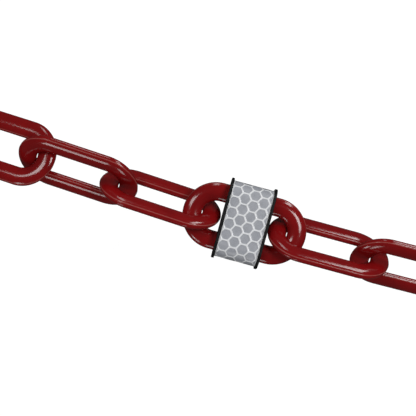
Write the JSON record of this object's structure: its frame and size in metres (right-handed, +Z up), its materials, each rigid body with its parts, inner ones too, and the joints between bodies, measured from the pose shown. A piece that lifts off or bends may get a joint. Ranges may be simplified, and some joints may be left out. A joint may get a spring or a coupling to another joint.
{
  "type": "plastic barrier chain length with reflector sleeve",
  "caption": "Length of moulded plastic barrier chain with oval links and a hinged clip-on sleeve covered in honeycomb reflective sheeting.",
  "frame": {"origin": "on the surface that the chain lies on, under the middle of the whole chain's box", "axes": "+X along the link that carries the sleeve, towards link f; +Z up, out of the sleeve's front face; +Y across the chain, towards the sleeve's hinge"},
  "size_m": [0.2334, 0.0366, 0.0244],
  "materials": {
    "chain_plastic": "glossy deep red moulded polyethylene with light surface ripple and a fine parting line",
    "sleeve_plastic": "satin black moulded plastic",
    "reflective_sheet": "grey-white encapsulated reflective sheeting with a raised honeycomb seal pattern under a clear face"
  },
  "bodies": {
    "holder": {"link_d": "chain_plastic", "sleeve_back_leaf": "sleeve_plastic", "sleeve_hinge_web": "sleeve_plastic", "reflective_sheet_back": "reflective_sheet"},
    "front_leaf": {"sleeve_front_leaf": "sleeve_plastic", "reflective_sheet_front": "reflective_sheet"},
    "link_a": {"link_a": "chain_plastic"},
    "link_b": {"link_b": "chain_plastic"},
    "link_c": {"link_c": "chain_plastic"},
    "link_e": {"link_e": "chain_plastic"},
    "link_f": {"link_f": "chain_plastic"}
  },
  "joints": [
    {"name": "link_c_swing", "type": "hinge", "parent": "holder", "child": "link_c", "pos_m": [-0.00453, -0.00109, 0.01221], "axis": [0.0444, 0.8469, 0.5299], "range_deg": [-20, 20]},
    {"name": "link_b_swing", "type": "hinge", "parent": "link_c", "child": "link_b", "pos_m": [-0.04085, 0.00103, 0.01221], "axis": [-0.0627, -0.7524, 0.6557], "range_deg": [-75, 75]},
    {"name": "link_a_swing", "type": "hinge", "parent": "link_b", "child": "link_a", "pos_m": [-0.07712, 0.00307, 0.01094], "axis": [-0.1764, 0.1306, 0.9756], "range_deg": [-75, 75]},
    {"name": "link_e_swing", "type": "hinge", "parent": "holder", "child": "link_e", "pos_m": [0.04007, -0.00109, 0.01221], "axis": [0.0161, 0.788, 0.6155], "range_deg": [-20, 20]},
    {"name": "link_f_swing", "type": "hinge", "parent": "link_e", "child": "link_f", "pos_m": [0.07641, -0.00124, 0.01115], "axis": [0.0162, -0.7312, 0.682], "range_deg": [-75, 75]},
    {"name": "sleeve_opening", "type": "hinge", "parent": "holder", "child": "front_leaf", "pos_m": [0.01777, 0.0151, 0.00861], "axis": [-1, 0, 0], "range_deg": [0, 140]}
  ]
}
